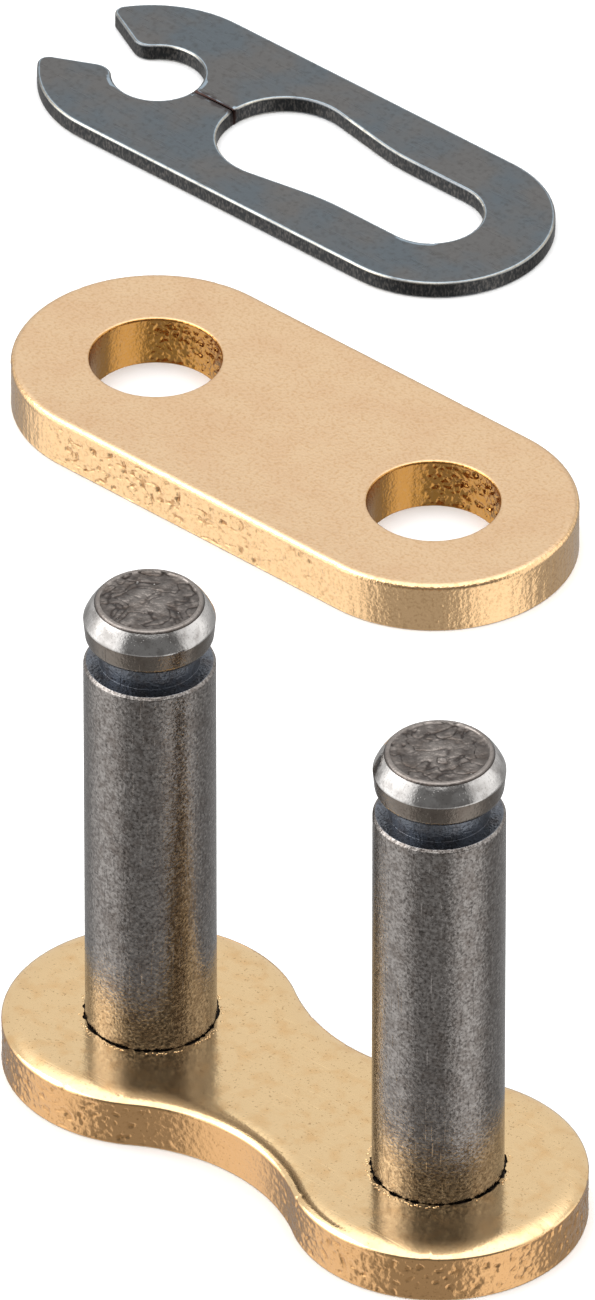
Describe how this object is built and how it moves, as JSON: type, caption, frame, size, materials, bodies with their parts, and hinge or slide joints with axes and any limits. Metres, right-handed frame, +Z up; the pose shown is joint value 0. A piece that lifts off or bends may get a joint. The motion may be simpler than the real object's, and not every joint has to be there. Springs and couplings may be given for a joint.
{
  "type": "chain connecting link",
  "caption": "Roller-chain connecting link, taken apart: a waisted plate that carries grooved pins, a bored cover plate that slips over them and a flat keyhole spring clip that locks it.",
  "frame": {"origin": "underside of the pin link plate, midway between the pins", "axes": "+X along the pitch from the left pin to the right pin, +Z up the pins"},
  "size_m": [0.0731, 0.064, 0.0236],
  "materials": {
    "gold_link_plate": "polished, gold-coloured plating on blanked steel",
    "gold_cover_plate": "satin, pale gold-coloured plating on blanked steel",
    "pin_steel": "hardened and tumbled steel, mottled grey, with a peened tip",
    "blued_spring_steel": "hardened, blued and tumbled spring steel"
  },
  "bodies": {
    "root": {"pin_link_plate": "gold_link_plate", "pin_left": "pin_steel", "pin_right": "pin_steel", "cover_plate": "gold_cover_plate", "spring_clip": "blued_spring_steel"}
  },
  "joints": []
}
